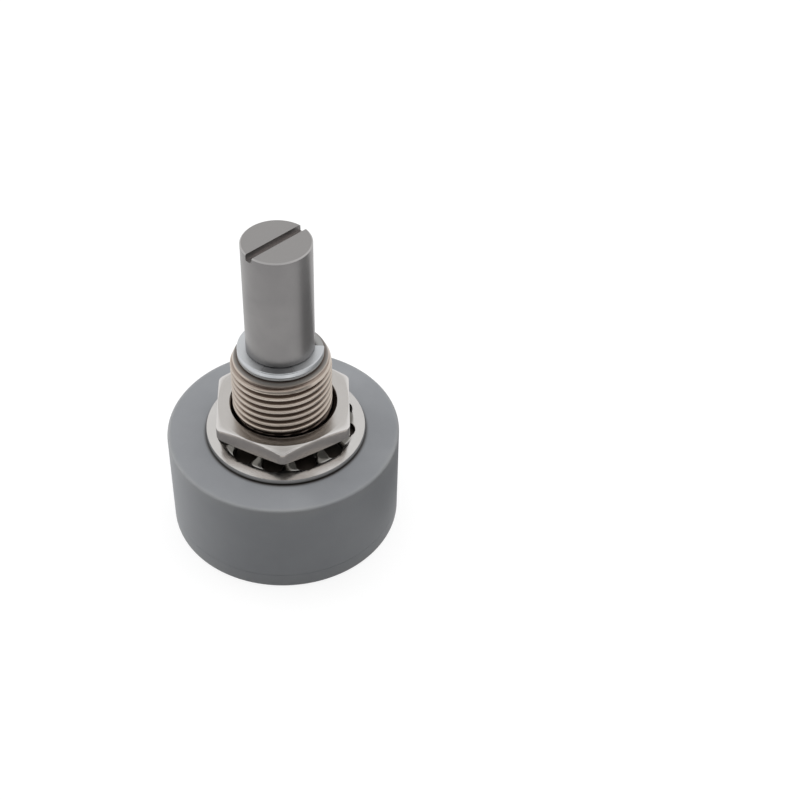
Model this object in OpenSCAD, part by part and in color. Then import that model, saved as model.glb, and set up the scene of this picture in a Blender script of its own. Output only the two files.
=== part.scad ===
// Rotary potentiometer with a conductive plastic element, held in a panel by a threaded bushing.
// Millimetres. Z runs up the shaft, and z = 0 is the flat rear face that the part stands on.
// Heights of what stands out of the front are counted from the mounting face, as on a drawing.

/* [Body] */
// Diameter of the housing and of its rear cover
body_d = 22.2; // [21.5:0.1:25]
// Height from the rear face to the mounting face
body_h = 10.5; // [10.2:0.1:13]
// Radius on the front and rear outer edges
edge_r = 0.25; // [0.1:0.05:0.5]
// Thickness of the rear cover outside the housing
cover_t = 1.6; // [1.2:0.1:1.8]
// Chamfer on both edges of the seam between housing and cover
seam_c = 0.08; // [0.04:0.02:0.16]
// Housing wall beside the rotor
wall_t = 2.1; // [1.9:0.1:2.4]
// Ledge in the housing that the element disc is held against
ledge_w = 0.6; // [0.5:0.05:0.8]
// Thickness of the front wall
front_t = 2.3; // [2:0.1:2.5]

/* [Bushing] */
// Major diameter of the thread
bush_d = 9.525; // [9.3:0.025:9.8]
// Height of the bushing's end above the mounting face
bush_h = 9.75; // [8:0.25:12]
// Chamfer at the bushing's end, across and along
bush_chamfer = [0.6, 1.2];
// Distance from one thread crest to the next, 32 to the inch
thread_pitch = 0.79375; // [0.75:0.00625:0.85]
// Depth of the thread
thread_depth = 0.45; // [0.3:0.05:0.5]
// Neck below the thread, at the pitch diameter that the nut meets
neck_d = 9; // [8.6:0.05:9.2]
// Flange moulded into the front wall
flange_d = 13; // [12:0.1:14]
// Thickness of that flange
flange_t = 1.2; // [0.8:0.1:1.4]
// Width across the two flats that stop the flange turning
flange_flats = 11.2; // [10.5:0.1:12]

/* [Shaft] */
// Diameter of the shaft
shaft_d = 6.35; // [6:0.05:6.5]
// Height of the shaft's end above the mounting face
shaft_h = 22.2; // [18:0.2:30]
// Chamfer round the shaft's end
shaft_chamfer = 0.1; // [0.05:0.05:0.4]
// Width of the screwdriver slot
slot_w = 0.8; // [0.6:0.05:1.2]
// Depth of the screwdriver slot
slot_depth = 0.6; // [0.4:0.1:1.6]
// Direction of the slot with the rotor in the middle of its travel
slot_angle = 46; // [0:1:180]
// Diameter at the bottom of the ring groove
groove_d = 5.6; // [5.2:0.1:5.8]
// Diameter of the inner end that carries the rotor
stub_d = 5; // [4:0.1:5.4]
// Depth of the driving flat on the inner end
stub_flat = 0.5; // [0.3:0.05:0.8]

/* [Retaining ring] */
// Outer diameter of the open ring
ring_d = 8; // [7.4:0.1:8.6]
// Thickness of the ring
ring_t = 0.6; // [0.5:0.05:0.9]
// Angle that the ring leaves open, on the rear side
ring_open = 176; // [150:2:184]

/* [Mounting nut] */
// Width across the flats
nut_af = 12.5; // [12.3:0.1:14]
// Thickness of the nut
nut_t = 1.65; // [1.4:0.05:2.4]
// Diameter of the countersink at the top face
nut_sink_d = 9.9; // [9.5:0.1:11]
// Depth of the countersink
nut_sink_depth = 0.3; // [0.2:0.1:0.8]
// Fall of the chamfer from the faces to the corners
nut_corner_fall = 0.3; // [0.15:0.05:0.5]
// Direction of one corner
nut_angle = -87; // [-120:1:-60]

/* [Lock washer] */
// Outer diameter of the washer
washer_d = 15.2; // [15:0.1:16.5]
// Thickness of its sheet
washer_t = 0.45; // [0.3:0.05:0.5]
// Height of its rim above the mounting face
washer_lift = 0.14; // [0.04:0.02:0.2]
// Height over the raised teeth, which the nut sits on
washer_h = 1.85; // [1.7:0.05:2]
// Diameter inside the tips of the teeth
washer_hole_d = 9.9; // [9.85:0.05:10.2]
// Width of the rim where a gap is deepest
washer_rim = 0.9; // [0.75:0.05:1]
// Number of teeth
tooth_count = 12; // [10:1:13]
// Width of a tooth
tooth_w = 1.25; // [1.1:0.05:1.35]
// Radius of the round gap between two teeth at the rim
tooth_gap_r = 1.15; // [1:0.05:1.25]
// Angle that a tooth twists on its way up to the nut
tooth_twist = 62; // [45:1:66]
// Direction of one gap
tooth_angle = -97; // [-110:1:-80]

/* [Element] */
// Thickness of the disc that carries the tracks
disc_t = 1; // [0.8:0.1:1.2]
// Thickness of the printed tracks
track_t = 0.05; // [0.03:0.01:0.08]
// Width of the resistive track
track_w = 1.2; // [1:0.05:1.4]
// Width of the collector track
collector_w = 0.9; // [0.7:0.05:1.1]
// Gap between neighbouring conductors
track_gap = 0.5; // [0.3:0.05:0.6]
// Half of the angle left free between the two ends of the resistive track
track_free = 9; // [8:0.5:10]

/* [Terminals] */
// Angle between neighbouring terminals
term_pitch = 25; // [22:1:30]
// Width of a terminal
term_w = 1.5; // [1.3:0.1:1.8]
// Thickness of a terminal
term_t = 0.4; // [0.3:0.05:0.5]
// Length of a terminal outside the body
term_out = 4.6; // [3:0.1:6]
// Diameter of the hole for a wire
term_hole_d = 1; // [0.7:0.1:1.1]
// Height of the cover's tongues under the terminals
tongue_h = 0.7; // [0.5:0.1:0.8]
// Shank diameter of the rivets through the disc
rivet_d = 0.7; // [0.6:0.05:0.8]
// Head diameter of those rivets
rivet_head_d = 1; // [0.9:0.05:1.1]
// Thickness of a rivet head
rivet_head_t = 0.2; // [0.15:0.05:0.25]

/* [Rotor] */
// Thickness of the rotor's disc
rotor_t = 1.3; // [1:0.1:1.5]
// Height of the stop lug on the disc
lug_h = 0.9; // [0.6:0.1:1]
// Width of the stop lug and of the housing's rib, across the radius
lug_w = 1.8; // [1.4:0.1:2.2]
// Angle that the shaft turns to either side of the middle
half_turn = 170; // [150:1:172]
// Thickness of the washer between rotor and bushing
thrust_t = 0.4; // [0.3:0.05:0.5]
// Outer diameter of that washer
thrust_d = 10; // [9:0.1:11]
// Thickness of the contact spring
spring_t = 0.15; // [0.1:0.01:0.2]
// Fingers of the brush on the resistive track
track_fingers = 5; // [3:1:6]
// Fingers of the brush on the collector
collector_fingers = 4; // [2:1:4]

/* [Clearances] */
// Radial play of the shaft in the bushing
shaft_play = 0.03; // [0.02:0.01:0.08]
// End play at each side of the thrust washer
end_play = 0.02; // [0.01:0.01:0.05]
// Gap round pieces that are held still
seat_gap = 0.02; // [0.01:0.01:0.04]
// Gap round pieces that turn inside the housing
turn_gap = 0.3; // [0.25:0.05:0.4]
// Angle left between lug and rib at the ends of the travel
stop_gap = 0.3; // [0.2:0.1:0.5]

/* [Hidden] */
$fn = 96;

// Cuts run past the faces that they open by this much
past = 0.5;

// Heights inside the body, from the rear upwards
z_term = cover_t + tongue_h;
z_disc = z_term + term_t;
z_tracks = z_disc + disc_t;
z_contact = z_tracks + track_t;
z_front = body_h - front_t;
z_hub_top = z_front - 2 * end_play - thrust_t;
z_lug_top = z_front - turn_gap;
z_rotor_top = z_lug_top - lug_h;
z_rotor = z_rotor_top - rotor_t;
hub_gap = 0.85;
z_hub = z_contact + hub_gap;

// Radii inside the body, from the wall inwards
body_r = body_d / 2;
chamber_r = body_r - wall_t;
pocket_r = chamber_r + ledge_w;
rivet_r = chamber_r - rivet_head_d / 2 - seat_gap - 0.08;
track_out = rivet_r - rivet_head_d / 2 - 0.2;
track_in = track_out - track_w;
collector_out = track_in - track_gap;
collector_in = collector_out - collector_w;
hub_r = collector_in - 0.7;
rotor_r = chamber_r - turn_gap * 2;
shaft_r = shaft_d / 2;
bore_r = shaft_r + shaft_play;

// Directions: the terminals leave at the rear side, and the wiper rests opposite them
term_angle = 90;
wiper_angle = term_angle - 180;
stop_half = (180 - half_turn) / 2;
pad_span = track_free + 4;

// The nut sits on the washer's teeth, and the thread starts just above the nut
z_nut = body_h + washer_h;
z_thread = z_nut + nut_t + 0.1;
z_bush_top = body_h + bush_h;
z_ring = z_bush_top + seat_gap;
groove_w = ring_t + 4 * seat_gap;

// Point at a radius, an angle and a height
function polar(r, a, z) = [r * cos(a), r * sin(a), z];

// Slow start and slow end between 0 and 1
function ease(t) = t * t * (3 - 2 * t);

// Closed solid through a row of four-point outlines
module loft(outlines) {
    last = len(outlines) - 1;
    function at(i, j) = 4 * i + j % 4;
    sides = [for (i = [0:last - 1], j = [0:3], half = [0, 1])
        half == 0 ? [at(i, j), at(i + 1, j + 1), at(i, j + 1)] : [at(i, j), at(i + 1, j), at(i + 1, j + 1)]];
    ends = [[0, 1, 2], [0, 2, 3], [at(last, 2), at(last, 1), at(last, 0)], [at(last, 3), at(last, 2), at(last, 0)]];
    polyhedron(points = [for (o = outlines) each o], faces = concat(sides, ends), convexity = 4);
}

// Bent strip round the axis between two radii: the path lists angles and underside heights
module strip(r0, r1, path, t) {
    loft([for (p = path)
        [polar(r0, p[0], p[1]), polar(r0, p[0], p[1] + t), polar(r1, p[0], p[1] + t), polar(r1, p[0], p[1])]]);
}

// Part of a flat ring, from one angle to another
module sector(r0, r1, a0, a1, z, h) {
    rotate([0, 0, a0])
        rotate_extrude(angle = a1 - a0)
            translate([r0, z])
                square([r1 - r0, h]);
}

// Flat ring all the way round
module ring(r0, r1, z, h) {
    rotate_extrude()
        translate([r0, z])
            square([r1 - r0, h]);
}

// Upright cylinder from one height to another
module post(r, z0, z1) {
    translate([0, 0, z0])
        cylinder(r = r, h = z1 - z0);
}

// Half section of the body between two heights, with a rounded edge above and a seam chamfer below
module body_section(h) {
    difference() {
        union() {
            square([body_r - edge_r, h]);
            square([body_r, h - edge_r]);
            translate([body_r - edge_r, h - edge_r])
                circle(edge_r);
        }
        polygon([[body_r - seam_c, 0], [body_r + past, -past], [body_r + past, past], [body_r, seam_c]]);
    }
}

// The three places of the terminals
module at_terminals() {
    for (i = [-1:1])
        rotate([0, 0, term_angle + i * term_pitch])
            children();
}

// Bar along the radius through the wall at a terminal
module terminal_bar(r0, r1, w, z0, z1) {
    translate([r0, -w / 2, z0])
        cube([r1 - r0, w, z1 - z0]);
}

// Outline of the bushing's flange: a circle with two flats
module flange(r, flats, z0, z1) {
    intersection() {
        post(r, z0, z1);
        translate([-flats / 2, -r - past, z0])
            cube([flats, 2 * (r + past), z1 - z0]);
    }
}

// Moulded cup with the front wall, the ledge for the element disc and the stop rib
module housing() {
    color("slategray")
        difference() {
            union() {
                difference() {
                    translate([0, 0, cover_t])
                        rotate_extrude()
                            body_section(body_h - cover_t);
                    post(pocket_r, cover_t - past, z_tracks);
                    post(chamber_r, cover_t - past, z_front);
                }
                sector(rotor_r - lug_w, chamber_r + past, term_angle - stop_half, term_angle + stop_half,
                    z_rotor_top + turn_gap / 1.5, z_front + past - z_rotor_top - turn_gap / 1.5);
            }
            post(neck_d / 2 + seat_gap, z_front - past, body_h + past);
            flange(flange_d / 2 + seat_gap, flange_flats + 2 * seat_gap, z_front - past,
                z_front + flange_t + seat_gap);
            at_terminals()
                terminal_bar(chamber_r, body_r + past, term_w + 2 * seat_gap, cover_t - past, z_disc + seat_gap);
        }
}

// Cover that closes the rear, with a spigot under the element disc and tongues under the terminals
module rear_cover() {
    color("slategray")
        difference() {
            union() {
                translate([0, 0, cover_t])
                    mirror([0, 0, 1])
                        rotate_extrude()
                            body_section(cover_t);
                ring(chamber_r, pocket_r - seat_gap, cover_t - past, z_disc - cover_t + past);
                at_terminals()
                    intersection() {
                        terminal_bar(chamber_r, body_r, term_w, cover_t - past, z_term);
                        post(body_r - 1.5 * seam_c, cover_t - past, z_term);
                    }
            }
            at_terminals()
                terminal_bar(0, body_r + past, term_w + 2 * seat_gap, z_term, z_disc + past);
        }
}

// Threaded end of the bushing: one ridge to each pitch, between the nut and the end's chamfer
module thread_end() {
    crest_r = bush_d / 2;
    root_r = crest_r - thread_depth;
    z_end = z_bush_top - bush_chamfer[1];
    grooves = floor((z_end - z_thread) / thread_pitch + 0.1);
    // Half a groove's width at the crests and at its bottom
    mouth = 0.34 * thread_pitch;
    bottom = 0.08 * thread_pitch;
    ridges = [for (i = [grooves - 1:-1:0])
        let (z = z_end - (i + 0.5) * thread_pitch)
        each [[crest_r, z - mouth], [root_r, z - bottom], [root_r, z + bottom], [crest_r, z + mouth]]];
    rotate_extrude()
        polygon(concat([[0, z_thread], [crest_r, z_thread]], ridges,
            [[crest_r, z_end], [crest_r - bush_chamfer[0], z_bush_top], [0, z_bush_top]]));
}

// Turned bushing: flange in the wall, neck through it, threaded end, bored for the shaft
module bushing() {
    color("tan")
        difference() {
            union() {
                flange(flange_d / 2, flange_flats, z_front, z_front + flange_t);
                post(neck_d / 2, z_front, z_thread + seat_gap);
                thread_end();
            }
            post(bore_r, z_front - past, z_bush_top + past);
        }
}

// Turned blank that trims the hexagon's corners: both faces end in a circle just inside the flats
module corner_trim(corner_r) {
    face_r = nut_af / 2 - 0.15;
    outer_r = corner_r + past;
    fall = nut_corner_fall * (outer_r - face_r) / (corner_r - face_r);
    rotate_extrude()
        polygon([[0, 0], [face_r, 0], [outer_r, fall], [outer_r, nut_t - fall], [face_r, nut_t], [0, nut_t]]);
}

// Thin hexagon nut, trimmed at the corners and countersunk
module mounting_nut() {
    corner_r = nut_af / 2 / cos(30);
    color("lightgray")
        translate([0, 0, z_nut])
            difference() {
                intersection() {
                    rotate([0, 0, nut_angle])
                        cylinder(r = corner_r, h = nut_t, $fn = 6);
                    corner_trim(corner_r);
                }
                post(neck_d / 2 + seat_gap, -past, nut_t + past);
                translate([0, 0, nut_t - nut_sink_depth])
                    cylinder(r1 = neck_d / 2 + seat_gap, r2 = nut_sink_d / 2, h = nut_sink_depth);
            }
}

// Centre of a round gap in the washer, and the radius where a tooth leaves the rim
gap_at = washer_d / 2 - washer_rim - tooth_gap_r;
tooth_root = gap_at + 0.75 * tooth_gap_r;

// One tooth of the lock washer along +X: flat in the rim, then rising and twisting until one edge meets the nut
module washer_tooth() {
    tooth_tip = washer_hole_d / 2;
    tooth_t = washer_t - seat_gap;
    half_h = tooth_w / 2 * sin(tooth_twist) + tooth_t / 2 * cos(tooth_twist);
    z_rim = body_h + washer_lift + washer_t / 2;
    z_tip = body_h + washer_h - seat_gap - half_h;
    steps = 8;
    loft([for (i = [-1:steps])
        let (t = i / steps, e = ease(min(1, max(0, 1.5 * t))), a = e * tooth_twist)
        let (r = i < 0 ? washer_d / 2 - washer_rim : tooth_root + (tooth_tip - tooth_root) * t)
        let (z = z_rim + (z_tip - z_rim) * e)
        let (across = [cos(a), sin(a)] * tooth_w / 2, up = [-sin(a), cos(a)] * tooth_t / 2)
        [for (c = [[-1, -1], [-1, 1], [1, 1], [1, -1]])
            let (d = c[0] * across + c[1] * up) [r, d[0], z + d[1]]]]);
}

// Internal-tooth lock washer: a flat rim with round gaps, and teeth that twist up to the nut
module lock_washer() {
    pitch = 360 / tooth_count;
    color("gainsboro")
        union() {
            difference() {
                ring(tooth_root, washer_d / 2, body_h + washer_lift, washer_t);
                for (i = [0:tooth_count - 1])
                    rotate([0, 0, tooth_angle + i * pitch])
                        translate([gap_at, 0, 0])
                            post(tooth_gap_r, body_h, body_h + washer_h);
            }
            for (i = [0:tooth_count - 1])
                rotate([0, 0, tooth_angle + (i + 0.5) * pitch])
                    washer_tooth();
        }
}

// D-shaped end that drives the rotor
module drive_end(r, flat_r, z0, z1) {
    intersection() {
        post(r, z0, z1);
        translate([-r - past, -r - past, z0])
            cube([r + past + flat_r, 2 * (r + past), z1 - z0]);
    }
}

// Turned shaft with a ring groove, a slotted end and a flatted inner end
module shaft() {
    z_top = body_h + shaft_h;
    color("silver")
        difference() {
            union() {
                drive_end(stub_d / 2, stub_d / 2 - stub_flat, z_hub, z_hub_top + past);
                post(shaft_r, z_hub_top, z_top - shaft_chamfer);
                translate([0, 0, z_top - shaft_chamfer])
                    cylinder(r1 = shaft_r, r2 = shaft_r - shaft_chamfer, h = shaft_chamfer);
            }
            ring(groove_d / 2, shaft_r + past, z_bush_top, groove_w);
            rotate([0, 0, slot_angle])
                translate([-shaft_r - past, -slot_w / 2, z_top - slot_depth])
                    cube([shaft_d + 2 * past, slot_w, slot_depth + past]);
        }
}

// Open ring in the groove, with its closed side to the front
module retaining_ring() {
    color("gainsboro")
        sector(groove_d / 2 + seat_gap, ring_d / 2, term_angle + ring_open / 2,
            term_angle + 360 - ring_open / 2, z_ring, ring_t);
}

// Washer that the rotor's hub turns against
module thrust_washer() {
    color("ivory")
        ring(bore_r + seat_gap, thrust_d / 2, z_hub_top + end_play, thrust_t);
}

// Places of the two pegs that hold the contact spring
peg_r = 0.45;
peg_angles = [wiper_angle - 42, wiper_angle - 66];
peg_at = (collector_in + track_out) / 2;

// Moulded rotor: hub on the shaft's flatted end, disc, stop lug, and pegs for the contact spring
module rotor() {
    lug_half = stop_half - stop_gap;
    lug_inset = 0.1;
    color("dimgray")
        difference() {
            union() {
                post(hub_r, z_hub, z_hub_top);
                post(rotor_r, z_rotor, z_rotor_top);
                sector(rotor_r - lug_w, rotor_r - lug_inset, wiper_angle - lug_half, wiper_angle + lug_half,
                    z_rotor + rotor_t / 2, z_lug_top - z_rotor - rotor_t / 2);
                for (a = peg_angles)
                    rotate([0, 0, a])
                        translate([peg_at, 0, 0])
                            post(peg_r, z_rotor - 2 * spring_t, z_rotor + rotor_t / 2);
            }
            drive_end(stub_d / 2 + seat_gap, stub_d / 2 - stub_flat + seat_gap, z_hub - past, z_hub_top + past);
        }
}

// Heights and directions of the brushes
bar_t = 0.12;
bar_rise = 0.45;
z_bar = z_contact + bar_rise;
bar_angles = [wiper_angle - 12, wiper_angle - 6];
arm_start = wiper_angle - 34;

// Spring plate pegged under the rotor, with one sloping arm to each brush
module contact_spring() {
    z_plate = z_rotor - spring_t;
    z_arm = z_bar + bar_t;
    arm_t = 0.8 * spring_t;
    z_root = z_plate + (spring_t - arm_t) / 2;
    inset = 0.1;
    color("goldenrod")
        difference() {
            union() {
                sector(collector_in, track_out, wiper_angle - 76, arm_start, z_plate, spring_t);
                for (band = [[collector_in, collector_out], [track_in, track_out]])
                    strip(band[0] + inset, band[1] - inset, [[arm_start - 1, z_root], [arm_start + 2, z_root],
                        [bar_angles[0] - 1, z_arm], [bar_angles[1], z_arm]], arm_t);
            }
            for (a = peg_angles)
                rotate([0, 0, a])
                    translate([peg_at, 0, 0])
                        post(peg_r + seat_gap, z_plate - past, z_rotor + past);
        }
}

// Comb of wires under an arm: each one dips to its track and turns up at the tip
module brush(r0, r1, count) {
    lane = (r1 - r0) / count;
    wire_w = 0.6 * lane;
    touch = z_contact + seat_gap;
    sector(r0, r1, bar_angles[0], bar_angles[1], z_bar, bar_t);
    for (i = [0:count - 1])
        strip(r0 + (i + 0.5) * lane - wire_w / 2, r0 + (i + 0.5) * lane + wire_w / 2,
            [[bar_angles[1] - 1, z_bar], [wiper_angle - 4, z_bar - bar_rise / 3], [wiper_angle - 1, touch],
            [wiper_angle + 1, touch], [wiper_angle + 3, z_bar - bar_rise / 2]], bar_t);
}

// Brush on the resistive track
module track_brush() {
    color("gold")
        union()
            brush(track_in + 0.1, track_out - 0.1, track_fingers);
}

// Brush on the collector
module collector_brush() {
    color("gold")
        union()
            brush(collector_in + 0.1, collector_out - 0.1, collector_fingers);
}

// Disc that carries the tracks, drilled for the terminal rivets
module element_disc() {
    color("saddlebrown")
        difference() {
            post(pocket_r - seat_gap, z_disc, z_tracks);
            at_terminals()
                translate([rivet_r, 0, 0])
                    post(rivet_d / 2 + seat_gap, z_disc - past, z_tracks + past);
        }
}

// Conductive plastic track between the two end pads
module resistive_track() {
    color("black")
        sector(track_in, track_out, term_angle + pad_span, term_angle + 360 - pad_span, z_tracks, track_t);
}

// Hole in a printed conductor for a rivet's shank
module rivet_hole() {
    translate([rivet_r, 0, 0])
        post(rivet_d / 2 + seat_gap, z_tracks - past, z_contact + past);
}

// Collector ring with a tail to the middle terminal
module collector_track() {
    tail_w = 1;
    color("silver")
        difference() {
            union() {
                ring(collector_in, collector_out, z_tracks, track_t);
                rotate([0, 0, term_angle])
                    terminal_bar(collector_in + collector_w / 2, rivet_r + rivet_head_d / 2, tail_w, z_tracks, z_contact);
            }
            rotate([0, 0, term_angle])
                rivet_hole();
        }
}

// Silver pad at one end of the resistive track, with a lead round to its rivet
module end_pad(side) {
    lead_in = rivet_r - rivet_head_d / 2;
    lead_out = rivet_r + rivet_head_d / 2;
    lead_span = term_pitch + 5;
    color("silver")
        difference() {
            rotate([0, 0, term_angle])
                mirror([0, side < 0 ? 1 : 0, 0])
                    union() {
                        sector(track_in, lead_out, track_free, pad_span, z_tracks, track_t);
                        sector(lead_in, lead_out, track_free, lead_span, z_tracks, track_t);
                    }
            rotate([0, 0, term_angle + side * term_pitch])
                rivet_hole();
        }
}

// Pad at the counter-clockwise end
module end_pad_ccw() {
    end_pad(-1);
}

// Pad at the clockwise end
module end_pad_cw() {
    end_pad(1);
}

// Flat terminal with round ends, riveted under the disc and pierced for a wire
module terminal(side) {
    end_r = body_r + term_out - term_w / 2;
    color("gold")
        rotate([0, 0, term_angle + side * term_pitch])
            difference() {
                union() {
                    terminal_bar(rivet_r, end_r, term_w, z_term, z_disc);
                    for (r = [rivet_r, end_r])
                        translate([r, 0, 0])
                            post(term_w / 2, z_term, z_disc);
                }
                translate([rivet_r, 0, 0])
                    post(rivet_d / 2 + seat_gap, z_term - past, z_disc + past);
                translate([end_r, 0, 0])
                    post(term_hole_d / 2, z_term - past, z_disc + past);
            }
}

// Terminal at the counter-clockwise end
module terminal_ccw() {
    terminal(-1);
}

// Terminal of the wiper
module terminal_wiper() {
    terminal(0);
}

// Terminal at the clockwise end
module terminal_cw() {
    terminal(1);
}

// Three rivets that clamp the terminals to the disc and to the printed conductors
module terminal_rivets() {
    color("silver")
        at_terminals()
            translate([rivet_r, 0, 0])
                union() {
                    post(rivet_d / 2, z_term - rivet_head_t, z_contact + rivet_head_t);
                    post(rivet_head_d / 2, z_term - rivet_head_t, z_term);
                    post(rivet_head_d / 2, z_contact, z_contact + rivet_head_t);
                }
}

housing();
rear_cover();
bushing();
mounting_nut();
lock_washer();
shaft();
retaining_ring();
thrust_washer();
rotor();
contact_spring();
track_brush();
collector_brush();
element_disc();
resistive_track();
collector_track();
end_pad_ccw();
end_pad_cw();
terminal_ccw();
terminal_wiper();
terminal_cw();
terminal_rivets();
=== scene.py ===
import math

import bmesh
import bpy
import numpy as np
from mathutils import Matrix, Vector


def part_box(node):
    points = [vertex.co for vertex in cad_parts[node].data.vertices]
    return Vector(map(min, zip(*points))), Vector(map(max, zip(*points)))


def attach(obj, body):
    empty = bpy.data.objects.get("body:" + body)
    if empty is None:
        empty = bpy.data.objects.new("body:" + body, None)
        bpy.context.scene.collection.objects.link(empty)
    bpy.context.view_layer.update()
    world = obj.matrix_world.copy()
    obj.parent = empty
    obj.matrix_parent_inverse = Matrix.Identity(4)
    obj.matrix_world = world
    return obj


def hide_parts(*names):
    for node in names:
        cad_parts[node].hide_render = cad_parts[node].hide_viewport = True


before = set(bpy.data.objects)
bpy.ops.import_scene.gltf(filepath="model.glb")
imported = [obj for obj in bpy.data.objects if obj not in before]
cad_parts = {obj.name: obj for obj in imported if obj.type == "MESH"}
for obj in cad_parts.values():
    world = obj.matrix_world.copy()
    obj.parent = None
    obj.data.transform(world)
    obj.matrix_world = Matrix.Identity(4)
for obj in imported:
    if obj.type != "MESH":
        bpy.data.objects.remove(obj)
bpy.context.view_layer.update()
mm = 0.001
print("frame loaded:", len(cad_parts), "nodes")


# corners of a CAD node, in millimetres
def nodeBox(name):
    low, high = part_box(name)
    return np.array(low) / mm, np.array(high) / mm


# heights and radii that the pieces share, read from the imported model
housingLow, housingHigh = nodeBox("housing")
coverHigh = nodeBox("rear_cover")[1]
bushLow, bushHigh = nodeBox("bushing")
shaftLow, shaftHigh = nodeBox("shaft")
nutLow, nutHigh = nodeBox("mounting_nut")
washerLow, washerHigh = nodeBox("lock_washer")
ringLow, ringHigh = nodeBox("retaining_ring")
tabLow, tabHigh = nodeBox("terminal_wiper")
discHigh = nodeBox("element_disc")[1]
bodyRadius = housingHigh[0]
faceHeight = housingHigh[2]
seamHeight = housingLow[2]
discRadius = discHigh[0]
tabAngles = {"ccw": 65.0, "wiper": 90.0, "cw": 115.0}
# the loose washer and nut sit a little off the axis
washerShift = (0.25, -0.16)
nutShift = (0.08, 0.0)
# points this close are one and edges this short go, in metres; no divisor is smaller than tiny
weldGap, shortestEdge = 2e-7, 1e-8
tiny = 1e-6


# quads between neighbouring rows and columns of a grid, wrapped round where the grid closes
def gridFaces(rows, cols, closeRows, closeCols, start):
    rowSteps, colSteps = rows - (not closeRows), cols - (not closeCols)
    row, col = np.meshgrid(np.arange(rowSteps), np.arange(colSteps), indexing="ij")
    nextRow, nextCol = (row + 1) % rows, (col + 1) % cols
    quads = np.stack([row * cols + col, row * cols + nextCol,
                      nextRow * cols + nextCol, nextRow * cols + col], -1)
    return quads.reshape(-1, 4) + start


# joins grids of points into one mesh object; a grid's marks are values per point that a material reads, and
# its kept array, if it has one, says which quads are made
def makePiece(name, grids, body, nodes, sharpAngle):
    points, quads, marks, start = [], [], {}, 0
    for grid in grids:
        rows, cols = grid["points"].shape[:2]
        points.append(grid["points"].reshape(-1, 3))
        faces = gridFaces(rows, cols, grid.get("closeRows", False), grid.get("closeCols", False), start)
        quads.append(faces[grid["kept"].ravel()] if "kept" in grid else faces)
        for key, values in grid.get("marks", {}).items():
            marks.setdefault(key, []).append(np.broadcast_to(values, (rows, cols)).ravel())
        start += rows * cols
    mesh = bpy.data.meshes.new(name)
    mesh.from_pydata(np.concatenate(points) * mm, [], np.concatenate(quads))
    for key, values in marks.items():
        attribute = mesh.attributes.new(key, "FLOAT", "POINT")
        attribute.data.foreach_set("value", np.concatenate(values).astype(np.float32))
    work = bmesh.new()
    work.from_mesh(mesh)
    bmesh.ops.remove_doubles(work, verts=work.verts, dist=weldGap)
    bmesh.ops.dissolve_degenerate(work, edges=work.edges, dist=shortestEdge)
    bmesh.ops.recalc_face_normals(work, faces=work.faces)
    work.to_mesh(mesh)
    work.free()
    mesh.shade_smooth()
    mesh.set_sharp_from_angle(angle=math.radians(sharpAngle))
    piece = bpy.data.objects.new(name, mesh)
    bpy.context.scene.collection.objects.link(piece)
    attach(piece, body)
    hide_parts(*nodes)
    print("piece", name, len(mesh.polygons), "faces")
    return piece


# points of a round edge: centre plus radius at evenly spaced angles
def arc(centreR, centreZ, radius, fromDeg, toDeg, count):
    a = np.radians(np.linspace(fromDeg, toDeg, count))
    return np.stack([centreR + radius * np.cos(a), centreZ + radius * np.sin(a)], 1)


# carries a half section round the axis: x = r cos a, y = r sin a
def turned(r, z, a):
    r, z, a = np.broadcast_arrays(r, z, a)
    return np.stack([r * np.cos(a), r * np.sin(a), z], -1)


# radii and heights of listed rows as two arrays, each row spread over all columns
def spread(rows, columns):
    return [np.array([np.broadcast_to(value, columns.shape) for value in part]) for part in zip(*rows)]


# 0 at low, 1 at high, with a slow start and end
def ease(low, high, x):
    t = np.clip((x - low) / (high - low), 0, 1)
    return t * t * (3 - 2 * t)


# both mouldings: degrees between columns, degrees between the two copies of a notch's edge, and where the
# band of wear and painted highlight on a rim lies and how wide it is, in shares of the rim's round
mouldShape = {"step": 2.5, "apart": 1e-6, "wearAndHighlightAt": 0.4, "wearAndHighlightWidth": 0.8, "sharpAngle": 32.0}


# columns round a moulding that has straight-sided notches: evenly spaced angles, with the two edges of each
# notch put in twice, so that one copy carries the plain section and the other the notched one
def notchColumns(halfWidth, s):
    halfAngle = math.degrees(math.asin(halfWidth / bodyRadius))
    middles = list(tabAngles.values())
    even = np.arange(0, 360, s["step"])
    inNotch = np.abs(even[:, None] - middles).min(1) < halfAngle
    rows = [(angle, 0.0, 0, float(inside)) for angle, inside in zip(even, inNotch)]
    for t in middles:
        rows += [(t - halfAngle - s["apart"], t, -1, 0.0), (t - halfAngle, t, -1, 1.0)]
        rows += [(t + halfAngle, t, 1, 1.0), (t + halfAngle + s["apart"], t, 1, 0.0)]
    return np.array(sorted(rows)).T


# angle of each section point in each column; an edge stays parallel to its notch's middle, at asin(half / r)
def notchAngles(r, columns, halfWidth, innerRadius):
    nominal, centre, side = columns[:3]
    lean = np.degrees(np.arcsin(halfWidth / np.maximum(r, innerRadius)))[:, None]
    return np.radians(np.where(side == 0, nominal, centre + side * lean))


# wear and painted highlight on a rim: a bell curve over the distance from the corner that the rim has
# without its round
def wearAndHighlightRim(r, z, cornerHeight, edgeRound, s):
    fromCorner = np.hypot(r - bodyRadius, z - cornerHeight)
    return np.exp(-((fromCorner - edgeRound * s["wearAndHighlightAt"]) / (edgeRound * s["wearAndHighlightWidth"])) ** 2)[:, None]


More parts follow.
